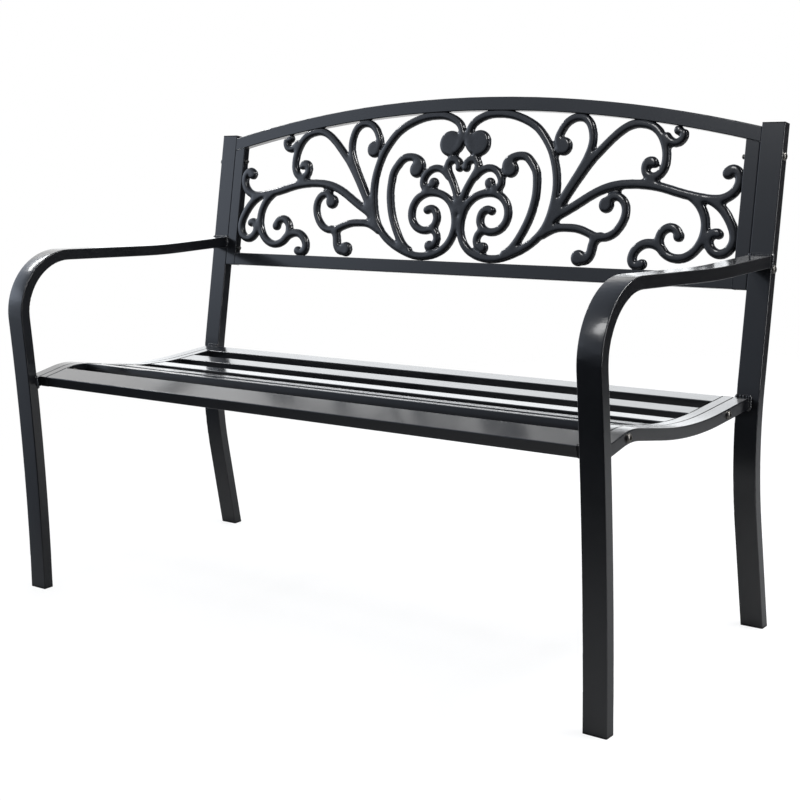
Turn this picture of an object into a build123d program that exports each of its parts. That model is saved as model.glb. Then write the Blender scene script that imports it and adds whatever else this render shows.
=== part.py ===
from build123d import *
from math import cos, radians, sin, sqrt, tan
import os

os.makedirs("parts", exist_ok=True)

# Garden bench for two, welded from flat steel tube, with a cast iron scroll panel in its back.
# Millimetres. X runs along the bench, +Y to its back, +Z up. Y is measured from the front feet
# while the pieces are made, and at the end the origin moves under the middle of the bench.

# Overall sizes
bench_width = 1270.0            # over the outer faces of the legs
post_height = 835.8             # floor to the top of a rear post
arch_apex_height = 899.0        # floor to the top edge of the arched rail

# Side frames, one flat tube for each leg
leg_width = 40.0                # across the bench
leg_depth = 20.0                # front to back
leg_wall = 1.2
tube_corner = 1.6               # outer corner radius of every tube
least_corner = 0.5              # smallest inner corner radius of a tube or plug

# Front leg and arm rest, bent from one tube
front_leg_lean = 2.3            # degrees, the foot leans back
front_leg_radius = 5870.0       # gentle bow of the leg
front_leg_turn = 5.1            # degrees turned over the leg
arm_bend_radius = 104.5         # middle of the tube at the front of the arm
arm_fall = 3.55                 # degrees, the arm falls away behind the bend
arm_straight = 194.0            # straight part behind the bend
arm_radius = 1500.0             # bow that levels the arm before the post

# Rear leg and back post, bent from one tube
rear_leg_lean = 7.9             # degrees, the lower part leans forward going up
rear_leg_straight = 185.8       # straight part above the floor
post_radius = 658.0             # bend between the leg and the post, front face
back_lean = 12.0                # degrees, the post and the back lean back

# Seat: outer rails are welded into the side frames, the seat panel is bolted between them
seat_rail_width = 25.4
seat_bar_width = 19.05
seat_tube_height = 19.05
seat_tube_wall = 1.0
seat_front = 27.0               # front face of the front foot to the front of the seat panel
seat_depth = 465.0              # seat panel, front to back
rear_foot_setback = 28.5        # back of the seat panel to the front face of the rear feet
seat_front_height = 410.9       # top of the seat at its front edge
seat_rise = 10.7                # degrees, slope of the front edge
seat_rise_length = 53.3
seat_crest_radius = 139.0
seat_fall = 11.05               # degrees, slope behind the crest
seat_fall_length = 69.5
seat_dip_radius = 782.5
seat_tail_rise = 3.0            # degrees, slope at the back
front_bar_depth = 50.8
slat_depth = 38.1
slat_count = 5
panel_gap = 0.3                 # between the bolted seat or back and the side frames
strap_width = 25.4              # flat strap under the middle of the slats
strap_thickness = 3.0
strap_inset = 9.0               # from the front and the back of the seat panel
strap_gap = 0.3                 # under the slats

# Back frame, bolted between the posts
back_tube_height = 25.4         # as seen from the front
back_tube_depth = 15.9          # front to back
back_tube_wall = 1.0
back_rail_height = 570.3        # floor to the underside of the bottom rail, at its front face
arch_end_height = 833.0         # floor to the top edge of the arched rail, at its ends

# Cast scroll panel, seated in the back frame
scroll_width_share = 0.0359     # width of a plain scroll, of the opening's mean size
cast_depth = 10.0
crown_depth = 4.0               # part of the depth that is stepped in, towards the front
crown_inset = 2.0               # step at each side of a scroll
cast_setback = 0.5              # behind the front face of the frame
cast_seat_gap = 0.2             # round the panel's edge

# Feet and caps, black plastic
foot_thickness = 3.0
foot_plug_height = 18.0
plug_slack = 0.2                # between a plug and the tube round it
cap_thickness = 2.0
cap_plug_length = 12.0
cap_wall = 1.6
end_cap_thickness = 1.2         # caps of the smaller tubes
end_plug_length = 9.0

# Bolts, button heads with a hexagon socket, in weld nuts inside the inner tubes
bolt_diameter = 8.0
bolt_slack = 0.4                # across a hole, round its bolt
bolt_head_diameter = 14.0
bolt_head_height = 4.4
bolt_crown_diameter = 7.0       # flat top of the head
bolt_socket_across = 5.0
bolt_socket_depth = 2.6
bolt_tip = 6.2                  # end of a bolt beyond the inner tube
bolt_tip_bevel = 1.2
nut_across = 11.0
nut_height = 6.5
thread_slack = 0.1              # between a bolt and its nut
seat_bolt_shares = (0.143, 0.838)       # along the seat panel, from its front
back_bolt_low = 605.0           # floor to the lower back bolts
back_bolt_high = 785.0          # floor to the upper back bolts

# Welds
weld_leg = 3.6                  # leg of a fillet weld

overrun = 20.0                  # cuts and joints run past by this much

foot_spread = seat_front + seat_depth + rear_foot_setback
leg_x = bench_width / 2 - leg_width / 2
leg_inner_x = bench_width / 2 - leg_width
panel_side_x = leg_inner_x - panel_gap
bar_inner_x = panel_side_x - seat_bar_width
upright_inner_x = panel_side_x - back_tube_height


def heading(angle):
    """Unit vector in the side view, at an angle above +Y."""
    return Vector(0, cos(radians(angle)), sin(radians(angle)))


# Side view drawing: straight runs and tangent arcs, drawn in the YZ plane
def run(start, angle, length):
    end = (start[0] + length * cos(radians(angle)), start[1] + length * sin(radians(angle)))
    return Plane.YZ * Line(start, end), end, angle


def bend(start, angle, radius, turn):
    tangent = (cos(radians(angle)), sin(radians(angle)))
    arc = JernArc(start, tangent, radius, turn)
    end = arc @ 1
    return Plane.YZ * arc, (end.X, end.Y), angle + turn


def draw(start, angle, steps):
    """Join (length,) runs and (radius, turn) bends into one wire."""
    edges = []
    for step in steps:
        if len(step) == 1:
            edge, start, angle = run(start, angle, step[0])
        else:
            edge, start, angle = bend(start, angle, step[0], step[1])
        edges.append(edge)
    return Wire(edges), start


def aside(point, angle, distance):
    """Move a point to the left of its heading."""
    return (point[0] - distance * sin(radians(angle)), point[1] + distance * cos(radians(angle)))


def back_off(point, angle, distance):
    """Move a point back along its heading."""
    return (point[0] - distance * cos(radians(angle)), point[1] - distance * sin(radians(angle)))


# Tubes
def across(path, position=0):
    """Plane square to a path in the side view, its X axis along the bench."""
    return Plane(origin=path @ position, x_dir=(1, 0, 0), z_dir=path % position)


def filled(width, height):
    return RectangleRounded(width, height, tube_corner)


def bore(width, height, wall):
    corner = tube_corner - wall if wall < tube_corner - least_corner else least_corner
    return RectangleRounded(width - 2 * wall, height - 2 * wall, corner)


def solid_bar(path, width, height):
    return sweep(across(path) * filled(width, height), path=path)


def tube(path, width, height, wall):
    inside = sweep(across(path) * bore(width, height, wall), path=path)
    return solid_bar(path, width, height) - inside


def plug_section(width, height, wall):
    """Ring of a plastic plug that fits inside a tube."""
    outside = bore(width, height, wall + plug_slack)
    inside = bore(width, height, wall + plug_slack + cap_wall)
    return outside - inside


def end_cap(plane, width, height, wall, thickness, length):
    """Cap on the end of a tube. Its plane faces out of the tube."""
    lid = extrude(plane * filled(width, height), amount=thickness)
    return lid + extrude(plane * plug_section(width, height, wall), amount=-length)


parts = {}


def both_sides(name, shape):
    """Left is -X, as seen by someone who stands in front of the bench."""
    parts[name + "_right"] = shape
    parts[name + "_left"] = mirror(shape, about=Plane.YZ)


def on_both_sides(solids):
    """One group of separate solids, and its mirror image."""
    group = []
    for solid in solids:
        group += solid.solids() + mirror(solid, about=Plane.YZ).solids()
    return Compound(group)


# Rear legs, which run on as the posts of the back
def rear_post_path():
    angle = 90.0 + rear_leg_lean
    start = back_off(aside((foot_spread, 0.0), angle, -leg_depth / 2), angle, overrun)
    middle_radius = post_radius + leg_depth / 2
    low = rear_leg_straight * cos(radians(rear_leg_lean))
    arc_height = middle_radius * (sin(radians(rear_leg_lean)) + sin(radians(back_lean)))
    upper = (post_height - low - arc_height) / cos(radians(back_lean)) + overrun
    steps = [
        (overrun + rear_leg_straight,),
        (middle_radius, -(rear_leg_lean + back_lean)),
        (upper,),
    ]
    return draw(start, angle, steps)[0]


floor_cut = Plane.XY.offset(foot_thickness)
up_back = heading(90.0 - back_lean)
post_path = rear_post_path()
post_top = post_path @ 1 - up_back * (overrun + cap_thickness)
post_top_plane = Plane(origin=post_top, x_dir=(1, 0, 0), z_dir=up_back)
at_leg = Location((leg_x, 0, 0))


def cut_post(shape):
    shape = split(shape, bisect_by=floor_cut, keep=Keep.TOP)
    return split(shape, bisect_by=post_top_plane, keep=Keep.BOTTOM)


post_bar = at_leg * cut_post(solid_bar(post_path, leg_width, leg_depth))
rear_post = at_leg * cut_post(tube(post_path, leg_width, leg_depth, leg_wall))
both_sides("post_cap", at_leg * end_cap(
    post_top_plane, leg_width, leg_depth, leg_wall, cap_thickness, cap_plug_length
))

# The back plane lies in the front faces of the posts, with its origin on the floor line
front_of_post = post_path @ 1 + heading(180.0 - back_lean) * (leg_depth / 2)
back_floor_y = front_of_post.Y - front_of_post.Z * tan(radians(back_lean))
back_plane = Plane(
    origin=(0, back_floor_y, 0),
    x_dir=(1, 0, 0),
    z_dir=heading(180.0 - back_lean),
)


def along_back(height):
    """Distance up the back plane of a height above the floor."""
    return height / cos(radians(back_lean))


# Front legs with arm rests
def front_leg_path():
    """Middle line of the tube, from below the floor to inside the post."""
    angle = 90.0 - front_leg_lean
    start = back_off((leg_depth / 2, 0.0), angle, overrun)
    top_angle = angle + front_leg_turn
    steps = [
        (overrun,),
        (front_leg_radius, front_leg_turn),
        (arm_bend_radius, -(top_angle + arm_fall)),
        (arm_straight,),
        (arm_radius, arm_fall),
    ]
    end = draw(start, angle, steps)[1]
    reach = back_floor_y + end[1] * tan(radians(back_lean)) + leg_depth / 2 - end[0]
    return draw(start, angle, steps + [(reach,)])[0]


leg_path = front_leg_path()
arm_height = (leg_path @ 1).Z


def cut_leg(shape):
    shape = split(shape, bisect_by=floor_cut, keep=Keep.TOP)
    return split(shape, bisect_by=back_plane, keep=Keep.TOP)


leg_bar = at_leg * cut_leg(solid_bar(leg_path, leg_width, leg_depth))
front_leg = at_leg * cut_leg(tube(leg_path, leg_width, leg_depth, leg_wall))
both_sides("front_leg_arm", front_leg)


# Plastic feet
def foot(path):
    """A flat sole as large as the tube, and a plug up inside it."""
    sole = split(solid_bar(path, leg_width, leg_depth), bisect_by=Plane.XY, keep=Keep.TOP)
    sole = split(sole, bisect_by=floor_cut, keep=Keep.BOTTOM)
    plug = sweep(across(path) * plug_section(leg_width, leg_depth, leg_wall), path=path)
    plug = split(plug, bisect_by=floor_cut, keep=Keep.TOP)
    plug = split(plug, bisect_by=floor_cut.offset(foot_plug_height), keep=Keep.BOTTOM)
    return at_leg * (sole + plug)


both_sides("front_foot", foot(leg_path))
both_sides("rear_foot", foot(post_path))


# Seat rails of the side frames
def seat_path(below, first, last):
    """Line along the seat, at a depth below its top face, to a distance behind the front feet."""
    start = aside((seat_front, seat_front_height), seat_rise, -below)
    start = back_off(start, seat_rise, first)
    steps = [
        (first + seat_rise_length,),
        (seat_crest_radius - below, -(seat_rise + seat_fall)),
        (seat_fall_length,),
        (seat_dip_radius + below, seat_fall + seat_tail_rise),
    ]
    end = draw(start, seat_rise, steps)[1]
    tail = (last - end[0]) / cos(radians(seat_tail_rise))
    return draw(start, seat_rise, steps + [(tail,)])[0]


def largest(shape):
    return max(shape.solids(), key=lambda solid: solid.volume)


tube_middle = seat_tube_height / 2
seat_back = seat_front + seat_depth
rail_x = leg_inner_x + seat_rail_width / 2
rail_path = seat_path(tube_middle, overrun, foot_spread - leg_depth / 2)
seat_rail = tube(rail_path, seat_rail_width, seat_tube_height, seat_tube_wall)
rail_bar = Location((rail_x, 0, 0)) * solid_bar(rail_path, seat_rail_width, seat_tube_height)
seat_rail = largest(Location((rail_x, 0, 0)) * seat_rail - leg_bar - post_bar)

# Seat panel: side bars, a wide front bar, slats and a strap under them
seat_line = seat_path(tube_middle, 0, seat_back)
side_path = seat_path(tube_middle, -end_cap_thickness, seat_back - end_cap_thickness)
at_side_bar = Location((bar_inner_x + seat_bar_width / 2, 0, 0))
side_bar = at_side_bar * tube(side_path, seat_bar_width, seat_tube_height, seat_tube_wall)

end_caps = []
for end_plane in (-across(side_path, 0), across(side_path, 1)):
    end_caps.append(at_side_bar * end_cap(
        end_plane, seat_bar_width, seat_tube_height, seat_tube_wall, end_cap_thickness, end_plug_length
    ))
parts["seat_bar_end_caps"] = on_both_sides(end_caps)


def crossbar(distance, depth):
    """Tube between the side bars, its middle at a distance along the seat."""
    share = distance / seat_line.length
    middle = seat_line @ share
    plane = Plane(
        origin=(-bar_inner_x, middle.Y, middle.Z), x_dir=seat_line % share, z_dir=(1, 0, 0)
    )
    section = filled(depth, seat_tube_height) - bore(depth, seat_tube_height, seat_tube_wall)
    return extrude(plane * section, amount=2 * bar_inner_x)


parts["front_seat_bar"] = crossbar(front_bar_depth / 2, front_bar_depth)
slat_pitch = (seat_line.length - front_bar_depth) / slat_count
for number in range(1, slat_count + 1):
    distance = front_bar_depth + number * slat_pitch - slat_depth / 2
    parts["seat_slat_" + str(number)] = crossbar(distance, slat_depth)

strap_below = seat_tube_height + strap_gap + strap_thickness / 2
strap_path = seat_path(strap_below, -strap_inset, seat_back - strap_inset)
parts["seat_centre_strap"] = sweep(
    across(strap_path) * Rectangle(strap_width, strap_thickness), path=strap_path
)

# Back frame, worked out in the back plane: X along the bench, Y up the back
rail_bottom = along_back(back_rail_height)
rail_top = rail_bottom + back_tube_height
arch_top = along_back(arch_apex_height)
arch_rise = arch_top - along_back(arch_end_height)
arch_radius = (panel_side_x**2 + arch_rise**2) / (2 * arch_rise)
arch_centre = arch_top - arch_radius
arch_middle_radius = arch_radius - back_tube_height / 2
back_middle = back_plane.offset(-back_tube_depth / 2)


def arc_height(radius, x):
    """Distance up the back of a circle about the arch's centre."""
    return arch_centre + sqrt(radius**2 - x**2)


def arch_arc(radius, half_width):
    """Arc of the arch in the back plane, from left to right."""
    side = arc_height(radius, half_width)
    return ThreePointArc((-half_width, side), (0, arch_centre + radius), (half_width, side))


arch_line = back_middle * arch_arc(arch_middle_radius, panel_side_x + overrun)
arch_plane = Plane(origin=arch_line @ 0, x_dir=back_plane.z_dir, z_dir=arch_line % 0)


def cut_arch(section):
    arch = sweep(arch_plane * section, path=arch_line)
    arch = split(arch, bisect_by=Plane.YZ.offset(panel_side_x), keep=Keep.BOTTOM)
    return split(arch, bisect_by=Plane.YZ.offset(-panel_side_x), keep=Keep.TOP)


arch_bore = bore(back_tube_depth, back_tube_height, back_tube_wall)
parts["back_top_arch"] = cut_arch(filled(back_tube_depth, back_tube_height)) - cut_arch(arch_bore)
arch_block = cut_arch(Rectangle(back_tube_depth + overrun, back_tube_height))

back_section = filled(back_tube_height, back_tube_depth)
back_section -= bore(back_tube_height, back_tube_depth, back_tube_wall)
upright_x = upright_inner_x + back_tube_height / 2
upright_bottom = back_middle * Location((upright_x, rail_bottom, 0))
upright_plane = Plane(origin=upright_bottom.position, x_dir=(1, 0, 0), z_dir=up_back)
upright_length = arc_height(arch_middle_radius, upright_x) - rail_bottom
upright = extrude(
    upright_plane.offset(end_cap_thickness) * back_section, amount=upright_length - end_cap_thickness
)
upright = largest(upright - arch_block)
parts["back_upright_end_caps"] = on_both_sides([end_cap(
    -upright_plane.offset(end_cap_thickness),
    back_tube_height, back_tube_depth, back_tube_wall, end_cap_thickness, end_plug_length,
)])

rail_start = back_middle * Location((-upright_inner_x, rail_bottom + back_tube_height / 2, 0))
rail_plane = Plane(origin=rail_start.position, x_dir=up_back, z_dir=(1, 0, 0))
parts["back_bottom_rail"] = extrude(rail_plane * back_section, amount=2 * upright_inner_x)

# Cast scroll panel. The points lie along the middle line of each scroll. They are shares of the
# opening's half width, and of its height there, above the middle of the bottom rail.
opening_radius = arch_radius - back_tube_height
opening_height = arch_top - back_tube_height - rail_top
scroll_width = scroll_width_share * sqrt(upright_inner_x * opening_height)
scroll_shares = {
    "heart": [
        (0.039, 0.737), (0.019, 0.769), (0.011, 0.820), (0.015, 0.870), (0.025, 0.911), (0.049, 0.947),
        (0.084, 0.973), (0.126, 0.981), (0.175, 0.974), (0.212, 0.956), (0.249, 0.928), (0.282, 0.890),
        (0.313, 0.827), (0.338, 0.756), (0.355, 0.676), (0.366, 0.593), (0.370, 0.501), (0.365, 0.405),
        (0.355, 0.316), (0.336, 0.231), (0.301, 0.154), (0.259, 0.098), (0.210, 0.055), (0.166, 0.032),
        (0.119, 0.032), (0.074, 0.056), (0.040, 0.101), (0.019, 0.167), (0.011, 0.243), (0.017, 0.321),
        (0.036, 0.393), (0.068, 0.440), (0.114, 0.461), (0.158, 0.444), (0.186, 0.394), (0.196, 0.328),
        (0.189, 0.268), (0.168, 0.223), (0.140, 0.205), (0.112, 0.214), (0.094, 0.244), (0.088, 0.287),
        (0.094, 0.328), (0.108, 0.350), (0.130, 0.342),
    ],
    "heart tail": [(0.102, 0.207), (0.085, 0.183), (0.081, 0.142), (0.089, 0.108), (0.109, 0.101)],
    "inner curl": [
        (0.196, 0.068), (0.221, 0.102), (0.245, 0.166), (0.265, 0.239), (0.281, 0.316), (0.291, 0.393),
        (0.296, 0.467), (0.295, 0.539), (0.288, 0.612), (0.270, 0.663), (0.249, 0.701), (0.219, 0.708),
        (0.191, 0.692), (0.172, 0.655), (0.175, 0.619),
    ],
    "arch": [
        (0.375, 0.342), (0.391, 0.399), (0.413, 0.471), (0.437, 0.549), (0.462, 0.626), (0.490, 0.706),
        (0.525, 0.790), (0.560, 0.868), (0.595, 0.933), (0.627, 0.969), (0.655, 0.979), (0.685, 0.974),
        (0.711, 0.947), (0.731, 0.893), (0.743, 0.825), (0.746, 0.758), (0.741, 0.695), (0.725, 0.648),
        (0.702, 0.631), (0.684, 0.649), (0.678, 0.690), (0.684, 0.727), (0.697, 0.740), (0.708, 0.721),
    ],
    "arch hook": [(0.742, 0.919), (0.756, 0.889), (0.774, 0.882), (0.791, 0.905), (0.799, 0.957)],
    "loop": [
        (0.371, 0.331), (0.384, 0.391), (0.404, 0.466), (0.427, 0.546), (0.449, 0.623), (0.469, 0.702),
        (0.483, 0.780), (0.487, 0.845), (0.482, 0.900), (0.470, 0.949), (0.450, 0.976), (0.428, 0.978),
        (0.404, 0.961), (0.383, 0.924), (0.369, 0.876), (0.360, 0.825), (0.368, 0.782),
    ],
    "branch": [
        (0.359, 0.272), (0.389, 0.334), (0.420, 0.371), (0.455, 0.416), (0.490, 0.464), (0.525, 0.506),
        (0.560, 0.538), (0.595, 0.558), (0.630, 0.569), (0.669, 0.575), (0.707, 0.574), (0.744, 0.567),
        (0.781, 0.552), (0.819, 0.538), (0.858, 0.528), (0.896, 0.524), (0.931, 0.532), (0.959, 0.562),
        (0.980, 0.614), (0.990, 0.681), (0.986, 0.738), (0.971, 0.763), (0.955, 0.751),
    ],
    "spiral": [
        (0.837, 0.530), (0.861, 0.493), (0.881, 0.435), (0.893, 0.358), (0.893, 0.276), (0.882, 0.198),
        (0.861, 0.134), (0.832, 0.095), (0.798, 0.091), (0.770, 0.118), (0.751, 0.170), (0.748, 0.231),
        (0.760, 0.278), (0.781, 0.301), (0.800, 0.288), (0.811, 0.245),
    ],
    "ankle": [
        (0.767, 0.128), (0.749, 0.162), (0.725, 0.181), (0.699, 0.177), (0.676, 0.145), (0.662, 0.096),
        (0.663, 0.046), (0.679, 0.024), (0.697, 0.035),
    ],
    "tassel": [
        (0.900, 0.521), (0.926, 0.495), (0.952, 0.444), (0.973, 0.373), (0.987, 0.295), (0.986, 0.217),
        (0.970, 0.159), (0.947, 0.137), (0.924, 0.157), (0.910, 0.204), (0.912, 0.257), (0.926, 0.287),
        (0.940, 0.280),
    ],
    "low curl": [
        (0.333, 0.197), (0.359, 0.229), (0.389, 0.250), (0.420, 0.255), (0.455, 0.253), (0.490, 0.235),
        (0.522, 0.210), (0.553, 0.203), (0.583, 0.223), (0.607, 0.272), (0.623, 0.343), (0.624, 0.414),
        (0.610, 0.462), (0.588, 0.481), (0.567, 0.465),
    ],
    "low foot": [
        (0.546, 0.207), (0.528, 0.186), (0.519, 0.143), (0.515, 0.093), (0.502, 0.054), (0.480, 0.052),
    ],
    "vee": [
        (0.003, 0.345), (0.017, 0.458), (0.034, 0.524), (0.053, 0.585), (0.062, 0.631), (0.057, 0.666),
        (0.040, 0.681), (0.019, 0.666), (0.014, 0.633),
    ],
    "shoulder": [
        (0.054, 0.565), (0.072, 0.600), (0.091, 0.620), (0.112, 0.625), (0.135, 0.609), (0.152, 0.575),
        (0.159, 0.534), (0.152, 0.499), (0.135, 0.492),
    ],
}
# Width of each scroll against a plain one
scroll_width_shares = {
    "heart": 1.0, "heart tail": 0.93, "inner curl": 1.03, "arch": 1.0, "arch hook": 0.93,
    "loop": 0.97, "branch": 1.07, "spiral": 1.03, "ankle": 1.07, "tassel": 1.07,
    "low curl": 0.97, "low foot": 1.14, "vee": 0.97, "shoulder": 0.93,
}
# Discs at the joins and ends of the scrolls. The last number is the radius against a scroll's width.
disc_shares = [
    (0.058, 0.788, 1.69), (0.191, 0.619, 1.07), (0.383, 0.782, 1.14),
    (0.555, 0.418, 0.97), (0.473, 0.061, 1.00), (0.114, 0.525, 0.72),
    (0.109, 0.101, 0.72), (0.952, 0.729, 0.72), (0.811, 0.244, 0.66),
    (0.696, 0.730, 0.62), (0.697, 0.039, 0.62), (0.131, 0.343, 0.55),
    (0.778, 0.971, 0.55), (0.938, 0.280, 0.55), (0.014, 0.626, 0.55),
]
side_steps = 2                  # points on a scroll's side for each point of its middle line


def place(x_share, height_share):
    x = x_share * upright_inner_x
    return Vector(x, rail_top + height_share * (arc_height(opening_radius, x) - rail_top))


def scroll_face(shares, width):
    """Band of even width round a smooth line, with round ends."""
    line = Spline([place(*point) for point in shares])
    count = side_steps * (len(shares) - 1)
    left, right = [], []
    for step in range(count + 1):
        middle, ahead = line @ (step / count), line % (step / count)
        out = Vector(-ahead.Y, ahead.X) * (width / 2)
        left.append(middle + out)
        right.append(middle - out)
    start = line @ 0 - (line % 0) * (width / 2)
    end = line @ 1 + (line % 1) * (width / 2)
    return make_face([
        Spline(left),
        ThreePointArc(left[-1], end, right[-1]),
        Spline(right[::-1]),
        ThreePointArc(right[0], start, left[0]),
    ])


def scrollwork(inset):
    """The whole pattern as one face, with every scroll narrower by an inset at each side."""
    half = []
    for name, shares in scroll_shares.items():
        half.append(scroll_face(shares, scroll_width * scroll_width_shares[name] - 2 * inset))
    for x_share, height_share, radius_share in disc_shares:
        disc = Circle(radius_share * scroll_width - inset)
        half.append(Location(place(x_share, height_share)) * disc)
    pattern = half[0] + half[1:]
    pattern += mirror(pattern, about=Plane.YZ)
    return pattern & opening


side = upright_inner_x - cast_seat_gap
low = rail_top + cast_seat_gap
opening_top = arch_arc(opening_radius - cast_seat_gap, side)
opening = make_face([opening_top, Polyline(opening_top @ 1, (side, low), (-side, low), opening_top @ 0)])

crown = extrude(scrollwork(crown_inset), amount=crown_depth)
body = extrude(scrollwork(0), amount=-(cast_depth - crown_depth))
panel_plane = back_plane.offset(-(cast_setback + crown_depth))
parts["cast_scroll_panel"] = panel_plane * (body + crown)


# Bolts and weld nuts, worked out from the outer face, with +Z out of the bench
def bolt(length):
    head_radius, crown_radius = bolt_head_diameter / 2, bolt_crown_diameter / 2
    shank_radius, bevel_end = bolt_diameter / 2, bolt_tip_bevel - length
    outline = Polyline(
        (crown_radius, bolt_head_height), (0, bolt_head_height), (0, -length),
        (shank_radius - bolt_tip_bevel, -length), (shank_radius, bevel_end), (shank_radius, 0),
        (head_radius, 0), (head_radius, bolt_tip_bevel / 2),
    )
    dome = TangentArc(
        (crown_radius, bolt_head_height), (head_radius, bolt_tip_bevel / 2), tangent=(1, 0)
    )
    solid = revolve(Plane.XZ * make_face([outline, dome]), axis=Axis.Z)
    socket = RegularPolygon(bolt_socket_across / 2, 6, major_radius=False)
    depth = Location((0, 0, bolt_head_height - bolt_socket_depth))
    return solid - extrude(depth * socket, amount=bolt_socket_depth)


def weld_nut():
    thread = Circle(bolt_diameter / 2 + thread_slack)
    return extrude(RegularPolygon(nut_across / 2, 6, major_radius=False) - thread, amount=nut_height)


def bolt_hole(length):
    hole = Circle((bolt_diameter + bolt_slack) / 2)
    return extrude(Location((0, 0, -length)) * hole, amount=length + overrun)


seat_grip = seat_rail_width + panel_gap + seat_bar_width
back_grip = leg_width + panel_gap + back_tube_height
seat_bolts, seat_nuts, back_bolts, back_nuts = [], [], [], []
for share in seat_bolt_shares:
    middle, ahead = seat_line @ share, seat_line % share
    at_bolt = Plane(
        origin=(leg_inner_x + seat_rail_width, middle.Y, middle.Z), x_dir=ahead, z_dir=(1, 0, 0)
    )
    seat_rail -= at_bolt * bolt_hole(seat_grip + overrun)
    side_bar -= at_bolt * bolt_hole(seat_grip + overrun)
    seat_bolts.append(at_bolt * bolt(seat_grip + bolt_tip))
    seat_nuts.append(at_bolt.offset(seat_tube_wall - seat_grip) * weld_nut())
for height in (back_bolt_low, back_bolt_high):
    middle = (back_middle * Location((bench_width / 2, along_back(height), 0))).position
    at_bolt = Plane(origin=middle, x_dir=up_back, z_dir=(1, 0, 0))
    rear_post -= at_bolt * bolt_hole(back_grip + overrun)
    upright -= at_bolt * bolt_hole(back_grip + overrun)
    back_bolts.append(at_bolt * bolt(back_grip + bolt_tip))
    back_nuts.append(at_bolt.offset(back_tube_wall - back_grip) * weld_nut())

both_sides("rear_post", rear_post)
both_sides("seat_rail", seat_rail)
both_sides("seat_side_bar", side_bar)
both_sides("back_upright", upright)
parts["seat_bolts"] = on_both_sides(seat_bolts)
parts["seat_weld_nuts"] = on_both_sides(seat_nuts)
parts["back_bolts"] = on_both_sides(back_bolts)
parts["back_weld_nuts"] = on_both_sides(back_nuts)


# Fillet welds of the side frames, each a bead across the flat of its tube
def bead(corner, first, second, x, width):
    """Triangle between two faces that meet at a corner, given by their headings."""
    corner = Vector(0, corner[0], corner[1])
    toe_a = corner + heading(first) * weld_leg
    toe_b = corner + heading(second) * weld_leg
    root = corner + (corner - toe_a) + (corner - toe_b)
    face = make_face(Polyline(toe_a, toe_b, root, toe_a))
    prism = extrude(face, amount=width / 2 - tube_corner, dir=(1, 0, 0), both=True)
    return Location((x, 0, 0)) * prism - leg_bar - post_bar - rail_bar


arm_welds = []
for side_of_arm in (1, -1):
    z = arm_height + side_of_arm * leg_depth / 2
    y = back_floor_y + z * tan(radians(back_lean))
    arm_welds.append(bead((y, z), 180.0, 90.0 * side_of_arm - back_lean, leg_x, leg_width))
parts["arm_welds"] = on_both_sides(arm_welds)

# Everything moves so that the origin is on the floor, under the middle of the bench
boxes = [shape.bounding_box() for shape in parts.values()]
front, back = min(box.min.Y for box in boxes), max(box.max.Y for box in boxes)
to_origin = Location((0, -(front + back) / 2, 0))
for name, shape in parts.items():
    export_step(to_origin * shape, "parts/" + name + ".step")
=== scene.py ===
import bpy
import bmesh
from math import cos, pi, radians, sin
from mathutils import Matrix, Vector
from mathutils.geometry import convex_hull_2d
from mathutils.kdtree import KDTree


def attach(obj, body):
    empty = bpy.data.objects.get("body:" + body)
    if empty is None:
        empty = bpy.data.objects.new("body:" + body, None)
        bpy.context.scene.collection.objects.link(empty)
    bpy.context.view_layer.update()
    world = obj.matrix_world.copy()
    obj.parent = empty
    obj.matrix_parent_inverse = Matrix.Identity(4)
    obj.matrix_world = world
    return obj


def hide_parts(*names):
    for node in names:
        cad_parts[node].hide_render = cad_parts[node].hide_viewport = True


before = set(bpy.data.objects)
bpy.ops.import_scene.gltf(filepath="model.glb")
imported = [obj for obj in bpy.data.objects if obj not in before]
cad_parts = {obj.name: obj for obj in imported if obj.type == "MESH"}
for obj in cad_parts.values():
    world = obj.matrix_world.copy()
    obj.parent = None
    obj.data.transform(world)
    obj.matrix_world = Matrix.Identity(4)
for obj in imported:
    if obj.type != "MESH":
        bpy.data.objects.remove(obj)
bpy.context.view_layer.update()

# The camera stands to the right of the bench, a little above the seat, as in the photograph.
# Its angle and lens follow the lines of the tubes, and its shift is only the photograph's crop.
camera_data = bpy.data.cameras.new("camera")
camera = bpy.data.objects.new("camera", camera_data)
bpy.context.scene.collection.objects.link(camera)
camera.location = (1.6015, -1.9743, 0.8771)
camera.rotation_euler = (radians(79.859), radians(2.025), radians(37.720))
camera_data.sensor_width = 36
camera_data.lens = 65.20
camera_data.shift_x = -0.00416
camera_data.shift_y = -0.0368
bpy.context.scene.camera = camera


# Side frames: flat steel tube, 40 by 20 mm, bent, welded to a rail at the seat, and coated with
# gloss black polyester powder. The coat is baked on in one thin layer that flows round the small
# corners, so flat faces mirror the room at a low angle and look near black from the front.
def linear(code):
    """An sRGB hex colour as linear values."""
    values = [int(code[i:i + 2], 16) / 255 for i in (1, 3, 5)]
    values = [v / 12.92 if v <= 0.04045 else ((v + 0.055) / 1.055) ** 2.4 for v in values]
    return (*values, 1)


def node(tree, kind, settings=None, links=None):
    """Add a node. Settings are attributes or input values, and links are inputs and sockets."""
    new = tree.nodes.new(kind)
    for key, value in (settings or {}).items():
        if isinstance(key, str) and hasattr(new, key):
            setattr(new, key, value)
        else:
            new.inputs[key].default_value = value
    for key, socket in (links or {}).items():
        tree.links.new(socket, new.inputs[key])
    return new


def blank_material(name):
    """A material with an empty tree, and the place on the object in metres."""
    material = bpy.data.materials.new(name)
    material.use_nodes = True
    material.node_tree.nodes.clear()
    tree = material.node_tree
    place = node(tree, "ShaderNodeTexCoord").outputs["Object"]
    return material, tree, place


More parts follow.
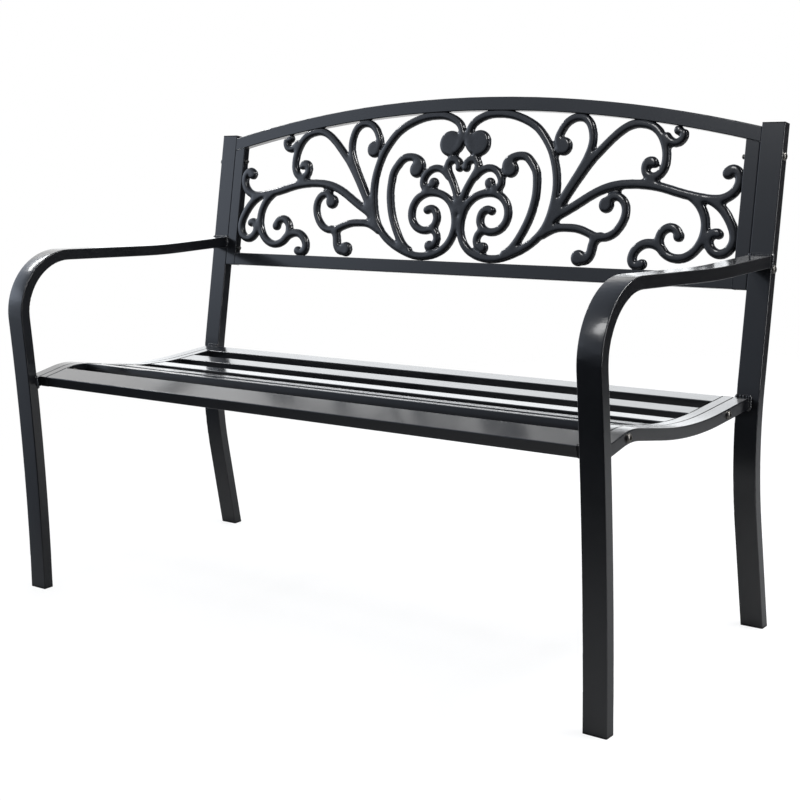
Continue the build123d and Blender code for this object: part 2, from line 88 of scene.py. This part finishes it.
def grain(tree, place, size, detail=2.0):
    """Noise with bumps of a real size in millimetres."""
    settings = {"Scale": 1000 / size, "Detail": detail}
    return node(tree, "ShaderNodeTexNoise", settings, {"Vector": place}).outputs["Fac"]


def powder_coat():
    """Orange peel of about 3 mm, and a haze of fine dust and handling that dulls it in places."""
    material, tree, place = blank_material("gloss_black_powder_coat")
    peel_size, peel_depth = 3.2, 0.008
    haze_size = 60
    peel = grain(tree, place, peel_size)
    bump = node(
        tree, "ShaderNodeBump", {"Strength": 0.35, "Distance": peel_depth / 1000}, {"Height": peel}
    )
    haze = grain(tree, place, haze_size, 4.0)
    rough = node(tree, "ShaderNodeMapRange", {"To Min": 0.26, "To Max": 0.38}, {"Value": haze})
    tint = node(
        tree, "ShaderNodeMix",
        {"data_type": "RGBA", 6: linear("#08090c"), 7: linear("#101116")}, {0: haze},
    )
    shader = node(tree, "ShaderNodeBsdfPrincipled", {
        "IOR": 1.5, "Coat Weight": 1.0, "Coat Roughness": 0.13, "Coat IOR": 1.6,
    }, {
        "Base Color": tint.outputs[2], "Roughness": rough.outputs[0],
        "Normal": bump.outputs[0], "Coat Normal": bump.outputs[0],
    })
    node(tree, "ShaderNodeOutputMaterial", {}, {"Surface": shader.outputs[0]})
    return material


coat = powder_coat()


def ride_as(piece, material, slot, *nodes):
    """Give a new piece its finish and its place in the bench."""
    piece.data.materials.clear()
    piece.data.materials.append(material)
    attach(piece, "root")
    if nodes:
        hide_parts(*nodes)


def round_off_bend(work, drop):
    """Lower the outside of a bend toward both edges of the face, as bending does to flat tube."""
    sideways, up_and_forward = 0.01, 0.5
    cuts = (-0.93, -0.82, -0.66, -0.45, 0, 0.45, 0.66, 0.82, 0.93)
    corner, on_ridge = 0.0025, 0.0001

    def outer_faces():
        work.normal_update()
        return [
            face for face in work.faces
            if abs(face.normal.x) < sideways and face.normal.z - face.normal.y > up_and_forward
        ]

    outer = outer_faces()
    low = min(vertex.co.x for face in outer for vertex in face.verts)
    high = max(vertex.co.x for face in outer for vertex in face.verts)
    middle, half = (low + high) / 2, (high - low) / 2
    for share in cuts:
        rims = {edge for face in outer for edge in face.edges}
        cut = (middle + share * half, 0, 0)
        bmesh.ops.bisect_plane(work, geom=outer + list(rims), plane_co=cut, plane_no=(1, 0, 0))
        outer = outer_faces()
    outside = {vertex for face in outer for vertex in face.verts}
    ridge = [vertex for vertex in outside if abs(vertex.co.x - middle) < on_ridge]
    tree = KDTree(len(ridge))
    for i, vertex in enumerate(ridge):
        tree.insert((0, vertex.co.y, vertex.co.z), i)
    tree.balance()
    normals = [vertex.normal.copy() for vertex in ridge]
    crests = [vertex.co.copy() for vertex in ridge]
    for vertex in work.verts:
        i = tree.find((0, vertex.co.y, vertex.co.z))[1]
        if (crests[i] - vertex.co).dot(normals[i]) < corner:
            bent = max(0, -2 * normals[i].y * normals[i].z)
            vertex.co -= normals[i] * drop * bent * ((vertex.co.x - middle) / half) ** 2


merge_distance = 0.000005
sharp_degrees = 38


def finished(name, material, slot, drop=0):
    """A copy of a CAD piece, merged and smoothed, with its flats kept flat up to their corners."""
    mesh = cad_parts[name].data.copy()
    work = bmesh.new()
    work.from_mesh(mesh)
    bmesh.ops.remove_doubles(work, verts=work.verts, dist=merge_distance)
    if drop:
        round_off_bend(work, drop)
    for face in work.faces:
        face.smooth = True
    for edge in work.edges:
        edge.smooth = edge.calc_face_angle(pi) < radians(sharp_degrees)
    work.to_mesh(mesh)
    work.free()
    piece = bpy.data.objects.new("finished_" + name, mesh)
    bpy.context.scene.collection.objects.link(piece)
    flats = piece.modifiers.new("flats", "WEIGHTED_NORMAL")
    flats.mode = "FACE_AREA_WITH_ANGLE"
    flats.keep_sharp = True
    ride_as(piece, material, slot, name)


bend_drop = 0.0010
for side in ("left", "right"):
    finished("front_leg_arm_" + side, coat, "powder_coated_steel", bend_drop)
    for part in ("rear_post_", "seat_rail_"):
        finished(part + side, coat, "powder_coated_steel")


# Welds of the side frames: a bead runs round the end of each arm, and of each seat rail where it
# meets the leg and the post. They were run by hand with a wire torch and coated over, so each is
# a row of overlapping scales of uneven height.
def tube_end(name, toward):
    """The outline round the end of a tube that faces one way, as places in order."""
    toward = Vector(toward).normalized()
    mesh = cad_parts[name].data
    reach = max(vertex.co.dot(toward) for vertex in mesh.vertices)
    depth, facing, same_plane = 0.03, 0.8, 0.999
    cut_faces = [
        face for face in mesh.polygons
        if face.normal.dot(toward) > facing and face.center.dot(toward) > reach - depth
    ]
    largest = max(cut_faces, key=lambda face: face.area)
    cut_faces = [face for face in cut_faces if face.normal.dot(largest.normal) > same_plane]
    places = [mesh.vertices[i].co for face in cut_faces for i in face.vertices]
    turn = largest.normal.to_track_quat("Z", "Y").to_matrix()
    flat = [place @ turn for place in places]
    ring = convex_hull_2d([(point.x, point.y) for point in flat])
    return [Vector(places[i]) for i in ring]


def spaced(places, step):
    """The same closed outline with its places an even step apart."""
    out, carry = [], 0.0
    for here, there in zip(places, places[1:] + places[:1]):
        run = (there - here).length
        while carry < run:
            out.append(here.lerp(there, carry / run))
            carry += step
        carry -= run
    return out


def weld_bead(name, outlines, radius, scale_pitch=0.0032, nodes=()):
    """Beads round closed outlines, each a swept round whose radius steps down at every scale."""
    step = 0.0008
    thickest, fall = 1.08, 0.3
    wander, wander_turn = 0.35, 0.11
    waver, waver_turn = 0.08, 0.053
    curve = bpy.data.curves.new(name, "CURVE")
    curve.dimensions = "3D"
    curve.bevel_depth = radius
    curve.bevel_resolution = 2
    for number, outline in enumerate(outlines):
        places = spaced(outline, step)
        spline = curve.splines.new("POLY")
        spline.points.add(len(places) - 1)
        spline.use_cyclic_u = True
        for i, place in enumerate(places):
            along = i * step / scale_pitch + wander * sin(i * wander_turn + number)
            scale = thickest - fall * (along % 1) + waver * sin(i * waver_turn + 2 * number)
            spline.points[i].co = (*place, 1)
            spline.points[i].radius = scale
    holder = bpy.data.objects.new(name, curve)
    mesh = bpy.data.meshes.new_from_object(holder)
    bpy.data.objects.remove(holder)
    for face in mesh.polygons:
        face.use_smooth = True
    piece = bpy.data.objects.new(name, mesh)
    bpy.context.scene.collection.objects.link(piece)
    ride_as(piece, coat, "powder_coated_steel", *nodes)


arm_weld_radius = 0.0031
arm_ends = [tube_end("front_leg_arm_" + side, (0, 1, 0)) for side in ("left", "right")]
weld_bead("arm_end_weld_beads", arm_ends, arm_weld_radius, nodes=("arm_welds",))
rail_weld_radius, rail_scale_pitch = 0.004, 0.0048
rail_ends = [
    tube_end("seat_rail_" + side, (0, way, 0)) for side in ("left", "right") for way in (-1, 1)
]
weld_bead("seat_rail_weld_beads", rail_ends, rail_weld_radius, rail_scale_pitch)

# Seat panel: two contoured side bars with a wide front bar and five slats between them, all of
# rectangular steel tube, welded and coated like the side frames. A flat strap joins the slats
# underneath, and nuts are welded inside the side bars for the bolts.
seat_parts = ("seat_side_bar", "front_seat_bar", "seat_slat", "seat_centre_strap", "seat_weld")
for name in sorted(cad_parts):
    if name.startswith(seat_parts):
        finished(name, coat, "powder_coated_steel")
low_weld_radius, low_scale_pitch = 0.0007, 0.0024
slat_ends = [
    tube_end(name, (way, 0, 0))
    for name in ["front_seat_bar"] + [f"seat_slat_{number}" for number in range(1, 6)]
    for way in (-1, 1)
]
weld_bead("seat_slat_weld_beads", slat_ends, low_weld_radius, low_scale_pitch)

# Back frame: an arched top rail, a bottom rail and two uprights of one square tube. It is welded
# at its four corners, where the beads are ground low, coated, and bolted between the posts.
# Nuts are welded inside the uprights for the bolts.
back_parts = ("back_top", "back_bottom", "back_upright_left", "back_upright_right", "back_weld")
for name in sorted(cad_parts):
    if name.startswith(back_parts):
        finished(name, coat, "powder_coated_steel")
corner_ends = [tube_end("back_upright_" + side, (0, 0.2, 1)) for side in ("left", "right")]
corner_ends += [tube_end("back_bottom_rail", (way, 0, 0)) for way in (-1, 1)]
weld_bead("back_frame_ground_welds", corner_ends, low_weld_radius, low_scale_pitch)


# Scroll panel: one grey iron sand casting, fettled and sprayed with gloss black paint. The mould
# rounds every scroll into a full half round, fills the crotches where scrolls meet, and leaves a
# faint sandy skin under the paint.
def painted_iron():
    """Gloss paint over cast iron: sand grain of about 2 mm that the paint half fills."""
    material, tree, place = blank_material("gloss_black_paint_on_cast_iron")
    sand_size, sand_depth = 2.2, 0.08
    wave_size, wave_depth = 11.0, 0.2
    sand = grain(tree, place, sand_size, 3.0)
    wave = grain(tree, place, wave_size, 1.0)
    low = node(
        tree, "ShaderNodeBump", {"Strength": 0.5, "Distance": wave_depth / 1000}, {"Height": wave}
    )
    bump = node(
        tree, "ShaderNodeBump", {"Strength": 0.5, "Distance": sand_depth / 1000},
        {"Height": sand, "Normal": low.outputs[0]},
    )
    rough = node(tree, "ShaderNodeMapRange", {"To Min": 0.26, "To Max": 0.4}, {"Value": wave})
    tint = node(
        tree, "ShaderNodeMix",
        {"data_type": "RGBA", 6: linear("#0a0b0f"), 7: linear("#13151b")}, {0: wave},
    )
    shader = node(tree, "ShaderNodeBsdfPrincipled", {
        "IOR": 1.5, "Coat Weight": 1.0, "Coat Roughness": 0.07, "Coat IOR": 1.6,
    }, {
        "Base Color": tint.outputs[2], "Roughness": rough.outputs[0],
        "Normal": bump.outputs[0], "Coat Normal": bump.outputs[0],
    })
    node(tree, "ShaderNodeOutputMaterial", {}, {"Surface": shader.outputs[0]})
    return material


iron_paint = painted_iron()


def cast_panel():
    """The CAD casting with its steps melted into rounded, crowned scrolls of the same width."""
    name = "cast_scroll_panel"
    voxel, swell, passes = 0.00225, 0.0012, 4
    crotch_height, crotch_radius = 0.7204, 0.005
    back_lean = 12
    lean = Matrix.Rotation(radians(-back_lean), 4, "X")
    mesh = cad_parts[name].data.copy()
    mesh.transform(lean.inverted())
    work = bmesh.new()
    work.from_mesh(mesh)
    bmesh.ops.remove_doubles(work, verts=work.verts, dist=merge_distance)
    work.normal_update()
    for vertex in work.verts:
        vertex.co += vertex.normal * swell
    depths = [vertex.co.y for vertex in work.verts]
    crotch = Matrix.Translation((0, (min(depths) + max(depths)) / 2, crotch_height))
    bmesh.ops.create_icosphere(work, subdivisions=2, radius=crotch_radius, matrix=crotch)
    work.to_mesh(mesh)
    work.free()
    piece = bpy.data.objects.new("cast_scrolls", mesh)
    bpy.context.scene.collection.objects.link(piece)
    remesh = piece.modifiers.new("remesh", "REMESH")
    remesh.mode = "VOXEL"
    remesh.voxel_size = voxel
    graph = bpy.context.evaluated_depsgraph_get()
    rounded = bpy.data.meshes.new_from_object(piece.evaluated_get(graph))
    piece.modifiers.clear()
    work = bmesh.new()
    work.from_mesh(rounded)
    for _ in range(passes):
        bmesh.ops.smooth_vert(
            work, verts=work.verts, factor=0.5, use_axis_x=True, use_axis_y=True, use_axis_z=True
        )
    for face in work.faces:
        face.smooth = True
    work.to_mesh(rounded)
    work.free()
    rounded.transform(lean)
    piece.data = rounded
    ride_as(piece, iron_paint, "painted_cast_iron", name)


cast_panel()


# Feet and caps: black polyethylene, injection moulded, pushed into the ends of the tubes. The
# mould was spark eroded, so they are evenly dull beside the coated steel.
def moulded_plastic():
    """Dull black plastic with the fine grain of a spark eroded mould."""
    material, tree, place = blank_material("moulded_black_polyethylene")
    spark_size, spark_depth = 0.6, 0.02
    spark = grain(tree, place, spark_size)
    bump = node(
        tree, "ShaderNodeBump", {"Strength": 0.4, "Distance": spark_depth / 1000}, {"Height": spark}
    )
    shader = node(tree, "ShaderNodeBsdfPrincipled", {
        "Base Color": linear("#121214"), "Roughness": 0.5, "IOR": 1.51,
    }, {"Normal": bump.outputs[0]})
    node(tree, "ShaderNodeOutputMaterial", {}, {"Surface": shader.outputs[0]})
    return material


plastic = moulded_plastic()
for name in sorted(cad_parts):
    if "foot" in name or "cap" in name:
        finished(name, plastic, "black_plastic")


# Bolts: button heads with a hexagon socket, of steel, zinc plated. They go in from outside, and
# their tips stand out of the nuts inside the frames.
def plated_zinc():
    """Dull grey zinc, tumbled and handled, so that its polish varies from spot to spot."""
    material, tree, place = blank_material("dull_zinc_plated_steel")
    haze_size = 1.5
    haze = grain(tree, place, haze_size)
    rough = node(tree, "ShaderNodeMapRange", {"To Min": 0.24, "To Max": 0.4}, {"Value": haze})
    shader = node(tree, "ShaderNodeBsdfPrincipled", {
        "Base Color": linear("#83807b"), "Metallic": 1.0,
    }, {"Roughness": rough.outputs[0]})
    node(tree, "ShaderNodeOutputMaterial", {}, {"Surface": shader.outputs[0]})
    return material


zinc = plated_zinc()
for name in ("seat_bolts", "back_bolts"):
    finished(name, zinc, "black_bolts")


def thread_ridges():
    """One turned ridge for each 1.25 mm of pitch, wound round the tips that stand out of the nuts."""
    pitch, ridge, turns, steps = 0.00125, 0.00045, 4, 20
    bolt_radius, sunk = 0.004, 0.00015
    tip_depth, first_turn = 0.0001, 0.001
    around = bolt_radius - sunk
    curve = bpy.data.curves.new("bolt_thread_ridges", "CURVE")
    curve.dimensions = "3D"
    curve.bevel_depth = ridge
    curve.bevel_resolution = 1
    for name in ("seat_bolts", "back_bolts"):
        places = [vertex.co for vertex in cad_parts[name].data.vertices]
        reach = min(abs(place.x) for place in places)
        tips = [place for place in places if abs(place.x) < reach + tip_depth]
        for side in (-1, 1):
            own = [place for place in tips if place.x * side > 0]
            middle = sum(place.y for place in own) / len(own)
            for group in ([p for p in own if p.y < middle], [p for p in own if p.y > middle]):
                y = (min(p.y for p in group) + max(p.y for p in group)) / 2
                z = (min(p.z for p in group) + max(p.z for p in group)) / 2
                spline = curve.splines.new("POLY")
                spline.points.add(turns * steps - 1)
                for i, point in enumerate(spline.points):
                    angle = 2 * pi * i / steps
                    x = side * (reach + first_turn + pitch * i / steps)
                    point.co = (x, y + around * cos(angle), z + around * sin(angle), 1)
    holder = bpy.data.objects.new("bolt_thread_ridges", curve)
    mesh = bpy.data.meshes.new_from_object(holder)
    bpy.data.objects.remove(holder)
    piece = bpy.data.objects.new("bolt_thread_ridges", mesh)
    bpy.context.scene.collection.objects.link(piece)
    ride_as(piece, zinc, "black_bolts")


thread_ridges()


# Studio: a pale floor that ends near the bench, a white backdrop behind it and a dim room in front.
# A broad lamp hangs above, an oval one stands high in front, a strip high on each side, a tall one
# to the right, and a wide low one behind.
def floor_material():
    """Pale floor that takes a soft shadow, is white for the camera, and fades out with distance."""
    material, tree, place = blank_material("pale_studio_floor")
    middle, kept, gone = (0.45, 0.75, 0.0), 1.0, 2.3
    away = node(
        tree, "ShaderNodeVectorMath", {"operation": "DISTANCE", 1: middle}, {0: place}
    ).outputs["Value"]
    fade = node(tree, "ShaderNodeMapRange", {
        "From Min": kept, "From Max": gone, "interpolation_type": "SMOOTHSTEP",
    }, {"Value": away})
    pale = node(tree, "ShaderNodeBsdfDiffuse", {"Color": linear("#999999")})
    lift = node(tree, "ShaderNodeEmission", {"Color": linear("#ffffff"), "Strength": 0.79})
    clear = node(tree, "ShaderNodeBsdfTransparent")
    dark = node(tree, "ShaderNodeEmission", {"Strength": 0.0})
    seen = node(tree, "ShaderNodeLightPath").outputs["Is Camera Ray"]
    own = node(tree, "ShaderNodeMixShader", {}, {0: seen, 1: dark.outputs[0], 2: lift.outputs[0]})
    both = node(tree, "ShaderNodeAddShader", {}, {0: pale.outputs[0], 1: own.outputs[0]})
    mix = node(
        tree, "ShaderNodeMixShader", {}, {0: fade.outputs[0], 1: both.outputs[0], 2: clear.outputs[0]}
    )
    node(tree, "ShaderNodeOutputMaterial", {}, {"Surface": mix.outputs[0]})
    return material


floor_mesh = bpy.data.meshes.new("floor")
floor_half = 3.2
work = bmesh.new()
bmesh.ops.create_grid(work, x_segments=1, y_segments=1, size=floor_half)
work.to_mesh(floor_mesh)
work.free()
floor = bpy.data.objects.new("floor", floor_mesh)
floor_mesh.materials.append(floor_material())
bpy.context.scene.collection.objects.link(floor)


def studio_world():
    """White all round for the camera. The bench itself meets a white backdrop behind, a dim room
    in front that is darker toward the ground, and shows both in its gloss. Bounds are parts of a
    direction of length one, X to the right and Z up, and levels are shares of white."""
    world = bpy.data.worlds.new("studio")
    bpy.context.scene.world = world
    world.use_nodes = True
    tree = world.node_tree
    tree.nodes.clear()
    way = node(tree, "ShaderNodeTexCoord").outputs["Generated"]
    parts = node(tree, "ShaderNodeSeparateXYZ", {}, {0: way}).outputs
    right, up = parts["X"], parts["Z"]

    def eased(value, start, end, low=0.0, high=1.0):
        return node(tree, "ShaderNodeMapRange", {
            "From Min": start, "From Max": end, "To Min": low, "To Max": high,
            "interpolation_type": "SMOOTHSTEP",
        }, {"Value": value}).outputs[0]

    def joined(operation, one, other):
        return node(tree, "ShaderNodeMath", {"operation": operation}, {0: one, 1: other}).outputs[0]

    behind = (-0.58, 0.815, 0.0)
    facing = node(
        tree, "ShaderNodeVectorMath", {"operation": "DOT_PRODUCT", 1: behind}, {0: way}
    ).outputs["Value"]
    backdrop = joined("MULTIPLY", eased(facing, 0.58, 0.78), eased(up, 0.62, 0.51, low=0.15))

    across = node(tree, "ShaderNodeMapRange", {"From Min": -1.0, "From Max": 1.0}, {"Value": right})
    walls = node(tree, "ShaderNodeValToRGB", {}, {"Fac": across.outputs[0]})
    shades = ((-1, 0.3), (-0.74, 0.42), (-0.41, 0.36), (0, 0.06), (0.6, 0.05), (0.74, 0.3), (0.9, 0.5))
    stops = walls.color_ramp.elements
    while len(stops) < len(shades):
        stops.new(1.0)
    for stop, (x, shade) in zip(stops, shades):
        stop.position = (x + 1) / 2
        stop.color = (shade, shade, shade, 1)

    pane = joined("MULTIPLY", eased(up, 0.5, 0.3), eased(up, 0.08, 0.24))
    window = joined("MULTIPLY", eased(right, -0.52, -0.74, high=0.6), pane)
    above_ground = eased(up, -0.08, 0.3, low=0.12)
    walls_and_window = joined("MULTIPLY", above_ground, joined("ADD", walls.outputs[0], window))
    side_wall = joined("MULTIPLY", eased(right, -0.71, -0.8, high=0.5), eased(up, -0.35, -0.1))
    level = joined("ADD", walls_and_window, side_wall)

    room = node(tree, "ShaderNodeBackground", {"Color": linear("#e2edff")}, {"Strength": level})
    white = node(tree, "ShaderNodeBackground", {"Color": linear("#ffffff"), "Strength": 1.0})
    seen = node(tree, "ShaderNodeLightPath").outputs["Is Camera Ray"]
    either = joined("MAXIMUM", seen, backdrop)
    mix = node(tree, "ShaderNodeMixShader", {}, {0: either, 1: room.outputs[0], 2: white.outputs[0]})
    node(tree, "ShaderNodeOutputWorld", {}, {"Surface": mix.outputs[0]})


studio_world()


def softbox(name, place, aim, width, height, power, colour=(1, 1, 1)):
    """A soft lamp that faces a place and that the camera doesn't see, in metres and watts."""
    data = bpy.data.lights.new(name, "AREA")
    data.shape = "RECTANGLE"
    data.size, data.size_y = width, height
    data.energy = power
    data.color = colour
    lamp = bpy.data.objects.new(name, data)
    bpy.context.scene.collection.objects.link(lamp)
    lamp.location = place
    direction = Vector(aim) - Vector(place)
    lamp.rotation_euler = direction.to_track_quat("-Z", "Y").to_euler()
    lamp.visible_camera = False
    return lamp


overhead = softbox("overhead", (0, 0.3, 3.2), (0, 0, 0.4), 4.2, 3.0, 50)
overhead.visible_glossy = False
key = softbox("key_in_front", (-0.60, -2.25, 2.68), (0.6, -0.31, 0.55), 0.6, 1.1, 10)
key.data.shape = "ELLIPSE"
softbox("strip_right", (1.77, 0.7, 2.7), (0, 0.2, 0.7), 2.0, 0.35, 40)
softbox("strip_left", (-2.73, 0.2, 2.5), (-0.62, 0.2, 0.62), 1.7, 0.15, 12.5)
softbox("tall_right", (2.8, 0.5, 1.0), (0, 0.2, 0.7), 0.4, 1.6, 18)
softbox("low_behind", (-1.6, 3.4, 1.3), (0, 0, 0.5), 4.6, 1.8, 16, (0.88, 0.94, 1))

bpy.context.scene.view_settings.view_transform = "Standard"
